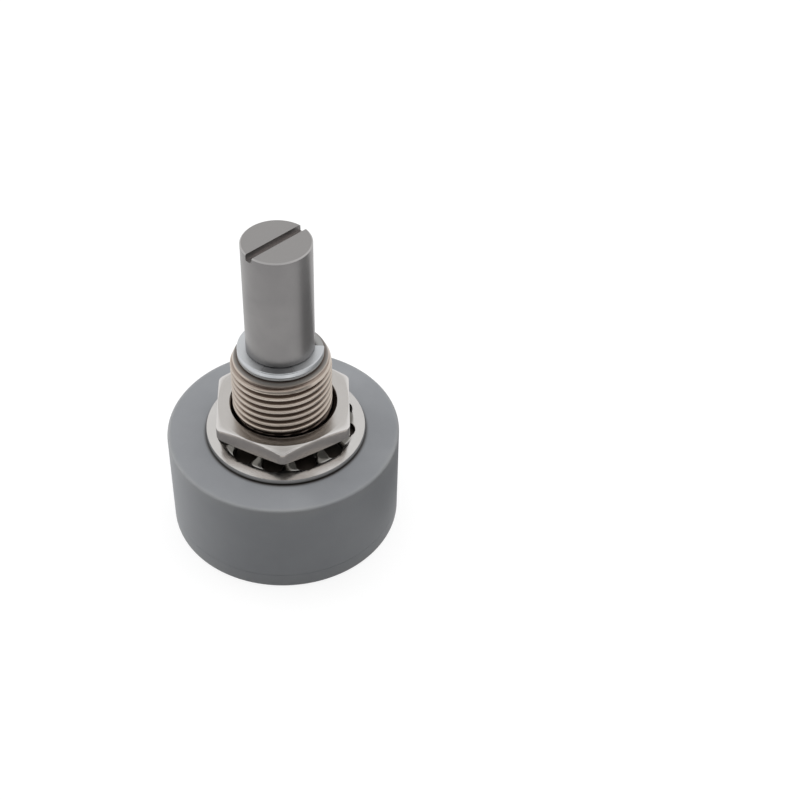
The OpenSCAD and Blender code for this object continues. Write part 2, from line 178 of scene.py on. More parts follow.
# moulded cup: half section from the seam up the wall, over the front face, and back through the hollow inside
housingShape = {"edgeRound": 0.25, "seamRound": 0.03, "holeRadius": 4.52, "holeRound": 0.1,
                "chamberRadius": 9.0, "frontWall": 2.3, "flangeRadius": 6.52, "flangeHeight": 1.22,
                "notchGap": 0.02, "shade": (7.55, 7.95), "wallRows": 7, "rimRows": 8, "faceRows": 49}


def makeHousing(s):
    top, rounding, seam = faceHeight, s["edgeRound"], s["seamRound"]
    notchTop = tabHigh[2] + s["notchGap"]
    inner = top - s["frontWall"]
    pocket = inner + s["flangeHeight"]
    hole = s["holeRadius"]
    wall = [[bodyRadius - seam, seamHeight], [bodyRadius, seamHeight + seam], [bodyRadius, notchTop]]
    wall += [[bodyRadius, z] for z in np.linspace(notchTop, top - rounding, s["wallRows"])[1:-1]]
    rim = arc(bodyRadius - rounding, top - rounding, rounding, 0, 90, s["rimRows"])
    face = [[r, top] for r in np.linspace(bodyRadius - rounding, hole + s["holeRound"], s["faceRows"])[1:]]
    hollow = [[hole, top - s["holeRound"]], [hole, pocket], [s["flangeRadius"], pocket],
              [s["flangeRadius"], inner], [s["chamberRadius"], inner], [s["chamberRadius"], discHigh[2]],
              [discRadius, discHigh[2]], [discRadius, notchTop], [discRadius, seamHeight]]
    section = np.concatenate([wall, rim, face, hollow])
    r, z = section[:, 0], section[:, 1]
    halfWidth = tabHigh[0] + s["notchGap"]
    columns = notchColumns(halfWidth, mouldShape)
    a = notchAngles(r, columns, halfWidth, discRadius)
    lifted = np.where(columns[3] > 0, np.maximum(z, notchTop)[:, None], z[:, None])
    points = turned(r[:, None], lifted, a)
    # painted shade: the face darkens under the washer and in a soft ring round its edge
    fromWasher = np.hypot(points[..., 0] - washerShift[0], points[..., 1] - washerShift[1])
    paintedShadeUnderWasher = ease(s["shade"][1], s["shade"][0], fromWasher) * (points[..., 2] > inner)
    grid = {"points": points, "closeRows": True, "closeCols": True,
            "marks": {"rimWearAndHighlight": wearAndHighlightRim(r, z, top, rounding, mouldShape), "paintedShadeUnderWasher": paintedShadeUnderWasher}}
    return makePiece("housing_cup", [grid], "fixed_body", ["housing"],
                     mouldShape["sharpAngle"])


# rear cover: half section of a flat plate with a round edge and a spigot; at the tabs its edge rises into
# tongues
coverShape = {"edgeRound": 0.25, "seamRound": 0.03, "spigotInner": 9.0, "tongueRadius": 10.98, "baseRows": 9,
              "rimRows": 8}


def makeCover(s):
    rounding, seam = s["edgeRound"], s["seamRound"]
    spigotTop, tongueTop = coverHigh[2], tabLow[2]
    base = [[r, 0] for r in np.linspace(0, bodyRadius - rounding, s["baseRows"])]
    rim = arc(bodyRadius - rounding, rounding, rounding, -90, 0, s["rimRows"])
    wall = [[bodyRadius, seamHeight - seam], [bodyRadius - seam, seamHeight], [s["tongueRadius"], seamHeight]]
    tongue = [[s["tongueRadius"], seamHeight], [discRadius, seamHeight], [discRadius, spigotTop],
              [s["spigotInner"], spigotTop]]
    inside = [[s["spigotInner"], seamHeight], [0, seamHeight]]
    section = np.concatenate([base, rim[1:], wall, tongue, inside])
    r, z = section[:, 0], section[:, 1]
    rises = np.zeros(len(z), bool)
    rises[-len(tongue + inside):-len(inside)] = True
    columns = notchColumns(tabHigh[0], mouldShape)
    a = notchAngles(r, columns, tabHigh[0], s["spigotInner"])
    lifted = np.where((columns[3] > 0) & rises[:, None], tongueTop, z[:, None])
    grid = {"points": turned(r[:, None], lifted, a), "closeCols": True,
            "marks": {"rimWearAndHighlight": wearAndHighlightRim(r, z, 0, rounding, mouldShape)}}
    return makePiece("rear_cover_plate", [grid], "fixed_body", ["rear_cover"],
                     mouldShape["sharpAngle"])


# threaded bushing: the radius at a height and angle falls from the crest by the thread depth where the phase
# (height over pitch, less angle over a full turn) is in a valley; the lead at the end limits it (a thin lip
# under the ring, a fine groove and a cone), and so does the nut's hole
bushShape = {"crest": 4.7, "pitch": 0.79375, "depth": 0.45, "crestFlat": 0.2, "rootFlat": 0.15,
             "rowsPerPitch": 26, "columns": 168, "firstAngle": -108.0, "threadStart": 12.9, "neckRadius": 4.5,
             "flangeRadius": 6.5, "flangeFlats": 11.2, "flangeTop": 9.4,
             "leadAlong": (0.0, 0.03, 0.2, 0.23, 0.3, 0.33, 1.2),
             "leadRadius": (3.97, 4.0, 4.0, 3.88, 3.88, 4.28, 4.7), "lip": 0.215, "lipGroove": (0.2, 0.32),
             "plainLead": (0.45, 0.85), "boreRadius": 3.205, "boreChamfer": 0.12, "nutSinkStart": 1.35,
             "nutSinkSlope": 1.2, "flankShade": (0.1, 0.5), "nutShade": (0.0, 0.12),
             "coneShade": (0.65, 0.35), "coneTone": 0.5, "sharpAngle": 50.0}


def makeBushing(s):
    top, low, bore = bushHigh[2], bushLow[2], s["boreRadius"]
    a = np.linspace(0, 2 * np.pi, s["columns"], endpoint=False)
    count = int((top - s["threadStart"]) / s["pitch"] * s["rowsPerPitch"])
    height = np.linspace(s["threadStart"], top, count)[:, None]
    below = top - height
    phase = (height - top) / s["pitch"] - a / (2 * np.pi) + s["firstAngle"] / 360
    wave = np.abs(2 * (phase % 1) - 1)
    valley = ease(s["crestFlat"], 1 - s["rootFlat"], wave) * ease(*s["plainLead"], below)
    lead = np.interp(below, s["leadAlong"], s["leadRadius"])
    sinkStart = nutLow[2] + s["nutSinkStart"]
    inNut = s["neckRadius"] + np.clip(height - sinkStart, 0, 1) * s["nutSinkSlope"]
    thread = np.minimum(np.minimum(s["crest"] - s["depth"] * valley, lead), inNut)
    flange = np.minimum(s["flangeRadius"], s["flangeFlats"] / 2 / np.maximum(np.abs(np.cos(a)), tiny))
    footR, footZ = spread([(bore, low), (flange, low), (flange, s["flangeTop"]),
                           (s["neckRadius"], s["flangeTop"]), (s["neckRadius"], s["threadStart"])], a)
    headR, headZ = spread([(bore + s["boreChamfer"], top), (bore, top - s["boreChamfer"])], a)
    r = np.concatenate([footR, thread, headR])
    z = np.concatenate([footZ, np.broadcast_to(height, thread.shape), headZ])
    onFoot, onHead = np.ones_like(footR), np.ones_like(headR)
    # painted shade: the lower flanks, the lip's groove and the thread by the nut are marked to be darkened
    groove = (below > s["lipGroove"][0]) & (below < s["lipGroove"][1])
    shaded = np.maximum(ease(*s["flankShade"], valley) * (phase % 1 < 0.5), groove)
    shaded = np.maximum(shaded, ease(*s["nutShade"], nutHigh[2] - height))
    # painted dark reflection: the lead cone is marked to be darkened, fading towards the thread
    onEnd = np.where(below < s["lip"], 1, s["coneTone"] * ease(*s["coneShade"], below))
    onEnd = np.broadcast_to(onEnd, thread.shape)
    grid = {"points": turned(r, z, a), "closeRows": True, "closeCols": True,
            "marks": {"threadDepth": np.concatenate([onFoot, valley, 0 * onHead]),
                      "underFlank": np.concatenate([onFoot, shaded, 0 * onHead]),
                      "endFace": np.concatenate([0 * onFoot, onEnd, onHead])}}
    return makePiece("threaded_bushing", [grid], "fixed_body", ["bushing"], s["sharpAngle"])


# hexagon nut: the outline's radius is half the width over the cosine from the nearest flat's middle, held
# back at the corners by a soft minimum; its section has a cone under and over the corners, small rounds on
# the edges and a small countersink
nutShape = {"acrossFlats": 12.45, "cornerAngle": -86.2, "cornerRound": 0.12, "cornerBlend": 40,
            "underCone": 0.14, "underFace": 6.05, "underLip": (0.02, 0.03), "topFall": 0.3, "topFace": 6.15,
            "edgeRound": 0.07, "holeRadius": 4.6, "sinkRadius": 5.05, "sinkDepth": 0.3,
            "sinkLip": (0.05, 0.03), "sinkTone": (0.5, 0.8, 1.0, 1.0, 1.0), "columnsPerSide": 22,
            "crowding": 1.6, "sharpAngle": 12.0}


def makeNut(s):
    low, top, rounding = nutLow[2], nutHigh[2], s["edgeRound"]
    half, blend = s["acrossFlats"] / 2, s["cornerBlend"]
    t = np.linspace(-1, 1, s["columnsPerSide"], endpoint=False)
    t = np.sign(t) * (1 - (1 - np.abs(t)) ** s["crowding"])
    local = np.radians(30 * t)
    a = (np.radians(s["cornerAngle"] + 30) + np.arange(6)[:, None] * math.pi / 3 + local).ravel()
    flat = np.tile(half / np.cos(local), 6)
    corner = half / math.cos(math.pi / 6) - s["cornerRound"]
    side = -np.log(np.exp(-blend * flat) + np.exp(-blend * corner)) / blend
    cone = s["underCone"] * np.clip((side - s["underFace"]) / (corner - s["underFace"]), 0, 1)
    edge = top - s["topFall"] * np.clip((side - s["topFace"]) / (corner - s["topFace"]), 0, 1)
    hole, sink = s["holeRadius"], s["sinkRadius"]
    (underIn, underUp), (sinkOut, sinkDown) = s["underLip"], s["sinkLip"]
    quarters = np.linspace(0, 1, 5)
    under = [(hole, low), (np.minimum(side, s["underFace"]), low)]
    flank = [(side - underIn, low + cone), (side, low + cone + underUp)]
    flank += [(side, low + cone + (edge - rounding - low - cone) * f) for f in quarters[1:]]
    rim = [(side - rounding * (1 - math.cos(q)), edge - rounding + rounding * math.sin(q))
           for q in quarters[1:] * math.pi / 2]
    face = [(s["topFace"] + (sink + sinkOut - s["topFace"]) * f, top) for f in quarters[::2]]
    bowl = [(sink + (hole - sink) * f, top - sinkDown - (s["sinkDepth"] - sinkDown) * f) for f in quarters]
    r, z = spread(under + flank + rim + face + bowl, a)
    recess, flankMark, cornerMark = np.zeros((3, len(r), 1))
    # painted shade: the underside and the countersink are marked to be darkened, most towards the hole
    recess[0] = 1
    recess[-len(bowl):, 0] = s["sinkTone"]
    rimStart = len(under + flank)
    # painted light: the flanks get a tone of their own, lighter and warmer than the top
    flankMark[len(under):rimStart] = 1
    # painted highlight on the round of the top edge
    cornerMark[rimStart + 1:rimStart + len(rim)] = 1
    grid = {"points": turned(r, z, a) + (*nutShift, 0), "closeRows": True, "closeCols": True,
            "marks": {"recess": recess, "flank": flankMark, "topCorner": cornerMark}}
    return makePiece("hexagon_nut", [grid], "fixed_body", ["mounting_nut"], s["sharpAngle"])


# lock washer: one sector of sheet per tooth, in rows from the outer edge to the tip; the sides follow the
# round gaps and then the tooth, which rises and twists by an eased share of its full angle; Solidify gives
# the sheet its wall, and Bevel the round of its stamped edges
washerShape = {"gapRadius": 1.15, "gapAngle": -97.0, "gapTurn": 60.0, "rimWidth": 0.9, "tipRadius": 4.95,
               "teeth": 12, "twist": 62.0, "twistFrom": 6.5, "twistTo": 5.4, "toothTaper": 0.96,
               "sheet": 0.45, "nutGap": 0.03, "dish": 0.15, "rollWidth": 0.16, "rollWall": 0.28,
               "rollTone": 0.6, "shadeFrom": 6.62, "shadeWidth": 0.5, "edgeRound": 0.07, "edgeSegments": 2,
               "edgeAngle": 50.0, "rimRows": 5, "arcRows": 14, "toothRows": 15, "columns": 15,
               "sharpAngle": 40.0}


def makeWasher(s):
    outer, gapRound, sheet = washerHigh[0], s["gapRadius"], s["sheet"]
    gapCentre = outer - s["rimWidth"] - gapRound  # radius of the circle of gap centres
    halfPitch, twist = math.pi / s["teeth"], math.radians(s["twist"])
    rimRows = np.linspace(outer - s["rollWidth"], gapCentre + gapRound, s["rimRows"])[:-1]
    rimRows = np.concatenate([[outer], rimRows])
    turn = np.radians(np.linspace(0, s["gapTurn"], s["arcRows"]))
    arcRows = np.sqrt(gapCentre * gapCentre + gapRound * gapRound + 2 * gapCentre * gapRound * np.cos(turn))
    arcHalf = halfPitch - np.arctan2(gapRound * np.sin(turn), gapCentre + gapRound * np.cos(turn))
    toothRows = np.linspace(arcRows[-1], s["tipRadius"], s["toothRows"] + 1)[1:]
    rootHalf = arcRows[-1] * math.sin(arcHalf[-1])
    toothHalf = np.arcsin(rootHalf * np.linspace(1, s["toothTaper"], s["toothRows"]) / toothRows)
    rho = np.concatenate([rimRows, arcRows, toothRows])[:, None]
    half = np.concatenate([np.full(len(rimRows), halfPitch), arcHalf, toothHalf])[:, None]
    across = half * np.linspace(-1, 1, s["columns"])
    rise = ease(0, s["twistFrom"] - s["twistTo"], s["twistFrom"] - rho)
    lean = twist * rise
    x, side = rho * np.cos(across), rho * np.sin(across)
    reach = rootHalf * s["toothTaper"] * math.sin(twist) + sheet / 2 * math.cos(twist)
    middle = washerLow[2] + sheet / 2 + s["dish"] * np.minimum(outer - rho, s["rimWidth"])
    middle[0] -= sheet / 2 * (1 - s["rollWall"])
    z = middle + (nutLow[2] - s["nutGap"] - reach - middle) * rise + side * np.sin(lean)
    side = side * np.cos(lean)
    # painted shade: the teeth darken as they rise under the nut, and the rolled edge's wall is darkened
    recess = np.clip((s["shadeFrom"] - rho) / s["shadeWidth"], 0, 1)
    recess[0] = s["rollTone"]
    grids = []
    for tooth in range(s["teeth"]):
        angle = math.radians(s["gapAngle"]) + (2 * tooth + 1) * halfPitch
        points = np.stack([x * math.cos(angle) - side * math.sin(angle) + washerShift[0],
                           x * math.sin(angle) + side * math.cos(angle) + washerShift[1], z], -1)
        grids.append({"points": points, "marks": {"recess": recess}})
    piece = makePiece("toothed_washer", grids, "fixed_body", ["lock_washer"],
                      s["sharpAngle"])
    # the stamped outer edge is rolled over: the wall there is thinner, and its underside stays flat
    place = np.empty(len(piece.data.vertices) * 3, np.float32)
    piece.data.vertices.foreach_get("co", place)
    fromCentre = np.hypot(place[0::3] / mm - washerShift[0], place[1::3] / mm - washerShift[1])
    atEdge = fromCentre > outer - s["rollWidth"] / 2
    share = piece.vertex_groups.new(name="wall share")
    share.add(np.flatnonzero(atEdge).tolist(), s["rollWall"], "REPLACE")
    share.add(np.flatnonzero(~atEdge).tolist(), 1.0, "REPLACE")
    wall = piece.modifiers.new("sheet", "SOLIDIFY")
    wall.vertex_group = share.name
    wall.thickness = sheet * mm
    wall.offset = 0.0
    wall.use_even_offset = True
    edge = piece.modifiers.new("stamped edge", "BEVEL")
    edge.width = s["edgeRound"] * mm
    edge.segments = s["edgeSegments"]
    edge.limit_method = "ANGLE"
    edge.angle_limit = math.radians(s["edgeAngle"])
    return piece


# open retaining ring: a rounded rectangle, its top sloping outward, carried round an arc and closed by
# shrinking it to a point at both ends; it is smoothest near one angle
ringShape = {"innerRadius": 2.82, "openAngle": 123.0, "openTurn": -26.5, "topGap": 0.02, "cornerRound": 0.12,
             "slope": 0.04, "cornerRows": 7, "columns": 120, "polishedAt": 270.0, "polishedTo": (14, 32),
             "sharpAngle": 40.0}


def makeRing(s):
    inner, outer, rounding = s["innerRadius"], ringHigh[0], s["cornerRound"]
    low, top = ringLow[2], bushHigh[2] + shaftShape["grooveWidth"] - s["topGap"]
    corners = [(outer - rounding, low + rounding, -90), (outer - rounding, top - rounding, 0),
               (inner + rounding, top - rounding, 90), (inner + rounding, low + rounding, 180)]
    section = np.concatenate([arc(r, z, rounding, turn, turn + 90, s["cornerRows"])
                              for r, z, turn in corners])
    section[:, 1] -= s["slope"] * (section[:, 0] - inner) * (section[:, 1] - low) / (top - low)
    centre = section.mean(0)
    halfOpen = s["openAngle"] / 2
    a = np.radians(np.linspace(90 + halfOpen, 450 - halfOpen, s["columns"]) + s["openTurn"])
    a = np.concatenate([a[:1], a, a[-1:]])
    grow = np.ones(len(a))
    grow[[0, -1]] = 0
    r = centre[0] + (section[:, 0, None] - centre[0]) * grow
    z = centre[1] + (section[:, 1, None] - centre[1]) * grow
    tumbled = ease(*s["polishedTo"], np.abs(np.degrees(a) - s["polishedAt"]))
    grid = {"points": turned(r, z, a), "closeRows": True, "marks": {"tumbled": tumbled[None]}}
    return makePiece("open_ring", [grid], "turning_shaft", ["retaining_ring"], s["sharpAngle"])


# slotted shaft: along each angle the top starts on the slot's floor, climbs its wall at half the slot's width
# over the sine from the slot, and goes on over the face and the chamfer; inside the slot's mouth it stays on
# the floor; apart is the degrees between the two copies of a column at the mouth's edge
shaftShape = {"radius": 3.175, "chamfer": 0.1, "slotWidth": 0.8, "slotDepth": 0.6, "slotAngle": 46.0,
              "wornFrom": 0.985, "wornDrop": 0.02, "slotDrop": 0.04, "grooveRadius": 2.8, "grooveWidth": 0.68,
              "grooveChamfer": 0.05, "stubRadius": 2.5, "stubFlat": 2.0, "stubTop": 7.76, "step": 2.5,
              "apart": 1e-7, "wallRows": 9, "sharpAngle": 30.0}


def makeShaft(s):
    radius, chamfer, half = s["radius"], s["chamfer"], s["slotWidth"] / 2
    top, floor = shaftHigh[2], shaftHigh[2] - s["slotDepth"]
    mouth, lip = math.degrees(math.asin(half / radius)), math.degrees(math.asin(half / (radius - chamfer)))
    columns = [(x, float(min(x % 180, 180 - x % 180) < mouth)) for x in np.arange(0, 360, s["step"])]
    for slotEnd in (0, 180):
        columns += [(slotEnd - mouth, 0.0), (slotEnd - mouth + s["apart"], 1.0)]
        columns += [(slotEnd + mouth, 1.0), (slotEnd + mouth + s["apart"], 0.0)]
        columns += [(slotEnd - lip, 0.0), (slotEnd + lip, 0.0)]
    table = np.array(sorted((x % 360, inside) for x, inside in columns))
    inMouth = table[:, 1] > 0
    away = np.abs(np.sin(np.radians(table[:, 0])))
    wall = np.where(inMouth, radius, np.minimum(half / np.maximum(away, tiny), radius))
    a = np.radians(table[:, 0] + s["slotAngle"])

    # height of the shaft's end at a radius
    def endHeight(r):
        return np.where(inMouth, floor, top - np.maximum(r - (radius - chamfer), 0))

    faceEdge = np.maximum(wall, radius - chamfer)
    faceRows = [wall + (faceEdge - wall) * f for f in (0.5, s["wornFrom"], 1.0)]
    wallTop = floor - s["slotDrop"]
    groove, bevel = s["grooveRadius"], s["grooveChamfer"]
    grooveLow, grooveTop = bushHigh[2], bushHigh[2] + s["grooveWidth"]
    stub = np.minimum(s["stubRadius"], s["stubFlat"] / np.maximum(np.cos(a), tiny))
    slot = [(0, floor), (wall, floor)]
    face = [(wall, endHeight(wall))] + [(r, endHeight(r)) for r in faceRows]
    outside = [(radius, endHeight(radius)), (radius, np.maximum(endHeight(radius) - s["wornDrop"], floor)),
               (radius, floor), (radius, wallTop)]
    outside += [(radius, z) for z in np.linspace(wallTop, grooveTop + bevel, s["wallRows"])[1:]]
    lower = [(radius - bevel, grooveTop), (groove, grooveTop), (groove, grooveLow),
             (radius - bevel, grooveLow), (radius, grooveLow - bevel), (radius, s["stubTop"]),
             (stub, s["stubTop"]), (stub, shaftLow[2]), (0, shaftLow[2])]
    r, z = spread(slot + face + outside + lower, a)
    slotMark, endMark, edgeMark = np.zeros((3, *r.shape))
    rimRow = len(slot + face)
    # painted light: the slot is marked for a colour lighter than the sides
    slotMark[:len(slot)] = 1
    # painted light: the end face is marked for a colour lighter than the sides
    endMark[len(slot):rimRow] = 1
    # painted highlight along the chamfer at the end's rim
    edgeMark[rimRow - 1:rimRow + 1] = ~inMouth
    grid = {"points": turned(r, z, a), "closeCols": True,
            "marks": {"recess": slotMark, "endFace": endMark, "paintedRimHighlight": edgeMark}}
    return makePiece("slotted_shaft", [grid], "turning_shaft", ["shaft"], s["sharpAngle"])


# solder tab: two halves, each a band from its hole out to the tab's outline; the outline's distance from the
# hole is the round end's radius ahead and half the width over the sine beside it, up to the line where the
# halves meet; there the edges aren't rounded, and the wall between the halves is left out
tabShape = {"wireHole": 0.5, "rivetHole": 0.37, "innerEnd": 8.4, "edgeRound": 0.06, "columnsRound": 17,
            "columnsSide": 5, "sharpAngle": 40.0}


def makeTab(side, angleDeg, s):
    halfWidth, low, top, rounding = tabHigh[0], tabLow[2], tabHigh[2], s["edgeRound"]
    outerEnd = tabHigh[1] - halfWidth
    reach = (outerEnd - s["innerEnd"]) / 2
    quarter, corner = math.pi / 2, math.atan2(halfWidth, -reach)
    turn = np.concatenate([np.linspace(-quarter, quarter, s["columnsRound"]),
                           np.linspace(quarter, corner, s["columnsSide"])[1:],
                           np.linspace(corner, 4 * quarter - corner, s["columnsSide"] * 2)[1:],
                           np.linspace(4 * quarter - corner, 3 * quarter, s["columnsSide"])[1:-1]])
    cosT, sinT = np.cos(turn), np.sin(turn)
    beside = halfWidth / np.maximum(np.abs(sinT), tiny)
    across = reach / np.maximum(-cosT, tiny)
    outline = np.where(cosT >= -tiny, halfWidth, np.minimum(beside, across))
    meets = np.isclose(outline, across) & (cosT < 0)
    pull = np.where(meets, 0, rounding)
    cosB, sinB = math.cos(math.radians(angleDeg)), math.sin(math.radians(angleDeg))
    grids = []
    for hole, centre, direction in ((s["wireHole"], outerEnd, 1), (s["rivetHole"], s["innerEnd"], -1)):
        under = [(hole, low + rounding), (hole + rounding, low), (outline - pull, low), (outline, low + pull)]
        over = [(outline, top - pull), (outline - pull, top), (hole + rounding, top), (hole, top - rounding)]
        distance, z = spread(under + over, turn)
        x, y = centre + direction * distance * cosT, distance * sinT
        points = np.stack([x * cosB - y * sinB, x * sinB + y * cosB, z], -1)
        kept = np.ones(distance.shape, bool)
        kept[len(under) - 1] = ~(meets & np.roll(meets, -1))
        grids.append({"points": points, "closeRows": True, "closeCols": True, "kept": kept})
    return makePiece("solder_tab_" + side, grids, "fixed_body", ["terminal_" + side],
                     s["sharpAngle"])


housingPiece = makeHousing(housingShape)
coverPiece = makeCover(coverShape)
bushPiece = makeBushing(bushShape)
nutPiece = makeNut(nutShape)
washerPiece = makeWasher(washerShape)
ringPiece = makeRing(ringShape)
shaftPiece = makeShaft(shaftShape)
tabPieces = [makeTab(side, angle, tabShape) for side, angle in tabAngles.items()]


# node group with named sockets, and the nodes at its two ends
def startGroup(name, inputs, outputs):
    group = bpy.data.node_groups.new(name, "ShaderNodeTree")
    for label, value in inputs.items():
        group.interface.new_socket(label, in_out="INPUT", socket_type="NodeSocketFloat").default_value = value
    for label in outputs:
        group.interface.new_socket(label, in_out="OUTPUT", socket_type="NodeSocketFloat")
    return group, group.nodes.new("NodeGroupInput"), group.nodes.new("NodeGroupOutput")


# sets a socket to a number, or links it to another node's output
def feed(tree, socket, value):
    if isinstance(value, (int, float)):
        socket.default_value = value
    else:
        tree.links.new(value, socket)


def addMath(tree, kind, first, second):
    node = tree.nodes.new("ShaderNodeMath")
    node.operation = kind
    feed(tree, node.inputs[0], first)
    feed(tree, node.inputs[1], second)
    return node.outputs[0]


# goes from one value to another by a share: first (1 - share) + second share
def addBlend(tree, share, first, second):
    kept = addMath(tree, "MULTIPLY", first, addMath(tree, "SUBTRACT", 1.0, share))
    return addMath(tree, "ADD", kept, addMath(tree, "MULTIPLY", share, second))


def addNoise(tree, vector, scale, detail):
    node = tree.nodes.new("ShaderNodeTexNoise")
    node.inputs["Detail"].default_value = detail
    tree.links.new(vector, node.inputs["Vector"])
    feed(tree, node.inputs["Scale"], scale)
    return node.outputs["Fac"]


# moulded or blasted surface: a fine noise for the bump and a slow one for the shade, on Object coordinates
grainShape = {"fineScale": 6000.0, "fineDetail": 3.0, "slowScale": 120.0, "slowDetail": 4.0}


def makeGrainGroup(s):
    scales = {"Fine Scale": s["fineScale"], "Slow Scale": s["slowScale"]}
    group, inside, outside = startGroup("surfaceGrain", scales, ["Height", "Shade"])
    place = group.nodes.new("ShaderNodeTexCoord").outputs["Object"]
    fine = addNoise(group, place, inside.outputs["Fine Scale"], s["fineDetail"])
    slow = addNoise(group, place, inside.outputs["Slow Scale"], s["slowDetail"])
    group.links.new(fine, outside.inputs["Height"])
    group.links.new(slow, outside.inputs["Shade"])
    return group


# lathe marks: noise along height plus radius, so that they ring a cylinder and circle a face
turningShape = {"lineScale": 9000.0, "lineDetail": 3.0, "slowScale": 260.0, "slowDetail": 3.0}


def makeTurningGroup(s):
    group, inside, outside = startGroup("turningMarks", {"Line Scale": s["lineScale"]}, ["Height", "Shade"])
    place = group.nodes.new("ShaderNodeTexCoord").outputs["Object"]
    split = group.nodes.new("ShaderNodeSeparateXYZ")
    group.links.new(place, split.inputs[0])
    square = addMath(group, "ADD", addMath(group, "MULTIPLY", split.outputs["X"], split.outputs["X"]),
                     addMath(group, "MULTIPLY", split.outputs["Y"], split.outputs["Y"]))
    along = addMath(group, "ADD", split.outputs["Z"], addMath(group, "SQRT", square, 0.0))
    line = group.nodes.new("ShaderNodeTexNoise")
    line.noise_dimensions = "1D"
    line.inputs["Detail"].default_value = s["lineDetail"]
    line.inputs["Scale"].default_value = 1.0
    group.links.new(addMath(group, "MULTIPLY", along, inside.outputs["Line Scale"]), line.inputs["W"])
    slow = addNoise(group, place, s["slowScale"], s["slowDetail"])
    group.links.new(line.outputs["Fac"], outside.inputs["Height"])
    group.links.new(slow, outside.inputs["Shade"])
    return group


grainGroup = makeGrainGroup(grainShape)
turningGroup = makeTurningGroup(turningShape)


# new material with its Principled shader; constants go straight onto the shader's sockets
def startMaterial(name, metallic, roughness, specular=0.5):
    material = bpy.data.materials.new(name)
    material.use_nodes = True
    shader = material.node_tree.nodes["Principled BSDF"]
    shader.inputs["Metallic"].default_value = metallic
    shader.inputs["Roughness"].default_value = roughness
    shader.inputs["Specular IOR Level"].default_value = specular
    return material, material.node_tree, shader


def placeGroup(tree, group, values):
    node = tree.nodes.new("ShaderNodeGroup")
    node.node_tree = group
    for label, value in values.items():
        node.inputs[label].default_value = value
    return node


noiseSpan = (0.3, 0.7)  # the noise values that count as fully dark and fully light


# colour from dark to light over the noise's span
def addRamp(tree, value, dark, light):
    node = tree.nodes.new("ShaderNodeValToRGB")
    for element, place, colour in zip(node.color_ramp.elements, noiseSpan, (dark, light)):
        element.position = place
        element.color = (*colour, 1.0)
    tree.links.new(value, node.inputs["Fac"])
    return node.outputs["Color"]


# mixes two colours by a value; a Mix node repeats its socket names for each type, so they are taken by number
def addMix(tree, value, first, second):
    shareInput, firstInput, secondInput, colourOutput = 0, 6, 7, 2
    node = tree.nodes.new("ShaderNodeMix")
    node.data_type = "RGBA"
    for number, colour in ((firstInput, first), (secondInput, second)):
        if isinstance(colour, tuple):
            node.inputs[number].default_value = (*colour, 1.0)
        else:
            tree.links.new(colour, node.inputs[number])
    tree.links.new(value, node.inputs[shareInput])
    return node.outputs[colourOutput]


# value of a mesh attribute
def addMark(tree, name):
    node = tree.nodes.new("ShaderNodeAttribute")
    node.attribute_name = name
    return node.outputs["Fac"]


# carries a value from one span to another, with a slow start and end
def addRange(tree, value, span, toSpan):
    node = tree.nodes.new("ShaderNodeMapRange")
    node.interpolation_type = "SMOOTHSTEP"
    for label, number in zip(("From Min", "From Max", "To Min", "To Max"), (*span, *toSpan)):
        node.inputs[label].default_value = number
    tree.links.new(value, node.inputs["Value"])
    return node.outputs["Result"]


def addBump(tree, shader, height, distance):
    node = tree.nodes.new("ShaderNodeBump")
    node.inputs["Strength"].default_value = 1.0
    node.inputs["Distance"].default_value = distance
    tree.links.new(height, node.inputs["Height"])
    tree.links.new(node.outputs["Normal"], shader.inputs["Normal"])


# grey moulded body: slow shade changes, a fine grain, edges lighter from rubbing and a painted highlight,
# and painted shade under and round the washer
plasticLook = {"dark": (0.232, 0.241, 0.256), "light": (0.28, 0.289, 0.304), "wearAndHighlight": (0.31, 0.315, 0.32),
               "wearAndHighlightShare": (0.35, 0.9), "paintedShade": (0.035, 0.028, 0.023), "grain": 7000.0, "slow": 160.0,
               "specular": 0.4, "roughSpan": (0.25, 0.75), "rough": (0.46, 0.58), "bump": 0.000012}


def makePlastic(s):
    material, tree, shader = startMaterial("greyMoulding", 0.0, s["rough"][0], s["specular"])
    grain = placeGroup(tree, grainGroup, {"Fine Scale": s["grain"], "Slow Scale": s["slow"]})
    shade = grain.outputs["Shade"]
    # the rim's band is partly wear and partly a painted highlight: it lightens the colour on the round
    wearAndHighlight = addMath(tree, "MULTIPLY", addMark(tree, "rimWearAndHighlight"),
                     addRange(tree, shade, noiseSpan, s["wearAndHighlightShare"]))
    wornAndHighlit = addMix(tree, wearAndHighlight, addRamp(tree, shade, s["dark"], s["light"]), s["wearAndHighlight"])
    # painted shade under and round the washer darkens the colour there
    tree.links.new(addMix(tree, addMark(tree, "paintedShadeUnderWasher"), wornAndHighlit, s["paintedShade"]), shader.inputs["Base Color"])
    tree.links.new(addRange(tree, shade, s["roughSpan"], s["rough"]), shader.inputs["Roughness"])
    addBump(tree, shader, grain.outputs["Height"], s["bump"])
    return material


